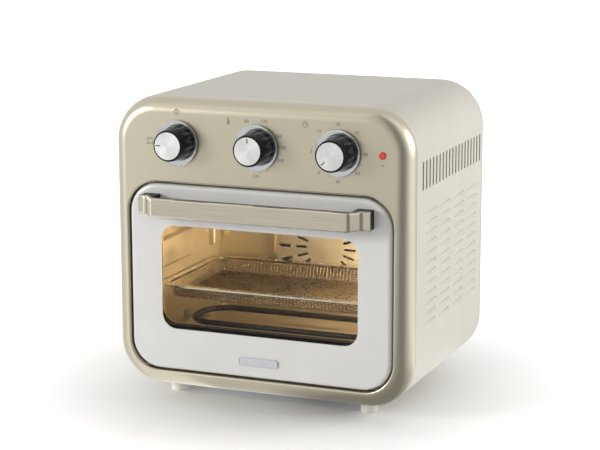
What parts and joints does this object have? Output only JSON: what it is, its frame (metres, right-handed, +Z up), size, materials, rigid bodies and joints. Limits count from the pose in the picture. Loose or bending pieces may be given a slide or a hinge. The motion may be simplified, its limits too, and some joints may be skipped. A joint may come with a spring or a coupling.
{
  "type": "countertop convection oven",
  "caption": "Rounded countertop convection oven with a bottom-hinged window door, front dials, a sliding mesh basket, side louvres and a rear fan, built as separate parts.",
  "frame": {"origin": "middle of the footprint, on the surface the feet stand on", "axes": "+X to the oven's right seen from the front, +Y from the door to the back, +Z up"},
  "size_m": [0.3352, 0.285, 0.323],
  "materials": {
    "champagne_moulding": "satin champagne lacquer on a moulding",
    "cream_enamel": "cream powder-coated sheet, low gloss",
    "door_enamel": "cream enamelled door skin, semi-gloss",
    "zinc_sheet": "zinc-coated steel sheet",
    "foot_plastic": "champagne-coloured moulded plastic",
    "liner_steel": "bright aluminised steel",
    "tray_steel": "bright steel sheet",
    "motor_iron": "laminated core, varnished",
    "fan_aluminium": "pressed aluminium",
    "shaft_steel": "turned steel",
    "element_sheath": "dark oxidised steel tube",
    "ceramic": "off-white unglazed ceramic",
    "lamp_glass": "clear heat-proof glass",
    "black_plastic": "black moulded plastic, fine texture",
    "white_plastic": "white nylon",
    "red_lens": "translucent red lens",
    "wire_sleeve": "woven glass-fibre sleeve",
    "screw_steel": "plated screws",
    "window_glass": "tempered clear glass",
    "seal_silicone": "dark grey silicone",
    "handle_steel": "champagne-toned brushed metal",
    "badge_metal": "bright bare plate with a raised rim",
    "basket_chrome": "bright plated rim",
    "basket_wire": "plated woven wire",
    "knob_ring_metal": "bright plated ring",
    "knob_plastic": "gloss black moulding",
    "knob_face_metal": "spun metal face"
  },
  "bodies": {
    "oven": {"front_frame": "champagne_moulding", "housing_wrap": "cream_enamel", "back_panel": "cream_enamel", "bottom_plate": "zinc_sheet", "foot_front_left": "foot_plastic", "foot_front_right": "foot_plastic", "foot_rear_left": "foot_plastic", "foot_rear_right": "foot_plastic", "oven_cavity": "liner_steel", "heat_shield": "zinc_sheet", "fan_cover": "liner_steel", "fan_pan": "zinc_sheet", "fan_motor": "motor_iron", "upper_element": "element_sheath", "lower_element": "element_sheath", "element_bushes": "ceramic", "element_clips": "zinc_sheet", "oven_lamp_lens": "lamp_glass", "oven_lamp_holder": "ceramic", "control_plate": "zinc_sheet", "function_switch": "black_plastic", "thermostat": "zinc_sheet", "timer": "zinc_sheet", "pilot_lamp": "red_lens", "terminal_block": "white_plastic", "cord_gland": "black_plastic", "wiring_loom": "wire_sleeve", "hinge_bracket_left": "zinc_sheet", "hinge_bracket_right": "zinc_sheet", "back_screws": "screw_steel", "foot_screws": "screw_steel", "fan_cover_screws": "screw_steel"},
    "door": {"door_panel": "door_enamel", "door_glass": "window_glass", "glass_frame": "black_plastic", "door_liner": "liner_steel", "door_seal": "seal_silicone", "handle_grip": "black_plastic", "handle_strip": "handle_steel", "door_screws": "screw_steel", "door_badge": "badge_metal", "hinge_pin_left": "shaft_steel", "hinge_pin_right": "shaft_steel"},
    "basket": {"basket_rim": "basket_chrome", "basket_mesh": "basket_wire"},
    "crumb_tray": {"crumb_tray": "tray_steel"},
    "function_knob": {"function_knob_skirt": "knob_ring_metal", "function_knob_body": "knob_plastic", "function_knob_face": "knob_face_metal", "function_knob_shaft": "shaft_steel"},
    "temperature_knob": {"temperature_knob_skirt": "knob_ring_metal", "temperature_knob_body": "knob_plastic", "temperature_knob_face": "knob_face_metal", "temperature_knob_shaft": "shaft_steel"},
    "timer_knob": {"timer_knob_skirt": "knob_ring_metal", "timer_knob_body": "knob_plastic", "timer_knob_face": "knob_face_metal", "timer_knob_shaft": "shaft_steel"},
    "fan": {"fan_blade": "fan_aluminium", "fan_shaft": "shaft_steel"}
  },
  "joints": [
    {"name": "door_hinge", "type": "hinge", "parent": "oven", "child": "door", "pos_m": [0, -0.11145, 0.0355], "axis": [1, 0, 0], "range_deg": [0, 90]},
    {"name": "basket_slide", "type": "slide", "parent": "oven", "child": "basket", "axis": [0, -1, 0], "range_m": [0, 0.1195]},
    {"name": "crumb_tray_slide", "type": "slide", "parent": "oven", "child": "crumb_tray", "axis": [0, -1, 0], "range_m": [0, 0.026]},
    {"name": "function_knob_turn", "type": "hinge", "parent": "oven", "child": "function_knob", "pos_m": [-0.089, -0.11395, 0.2765], "axis": [0, 1, 0], "range_deg": [0, 90]},
    {"name": "temperature_knob_turn", "type": "hinge", "parent": "oven", "child": "temperature_knob", "pos_m": [0, -0.11395, 0.2765], "axis": [0, 1, 0], "range_deg": [-23, 182]},
    {"name": "timer_knob_turn", "type": "hinge", "parent": "oven", "child": "timer_knob", "pos_m": [0.089, -0.11395, 0.2765], "axis": [0, 1, 0], "range_deg": [0, 315]},
    {"name": "fan_spin", "type": "hinge", "parent": "oven", "child": "fan", "pos_m": [0, 0.09905, 0.133], "axis": [0, 1, 0], "continuous": true}
  ],
  "couplings": [
    {"joint": "basket_slide", "follows": "door_hinge", "m_per_rad": 0.076},
    {"joint": "crumb_tray_slide", "follows": "door_hinge", "m_per_rad": 0.0165}
  ]
}
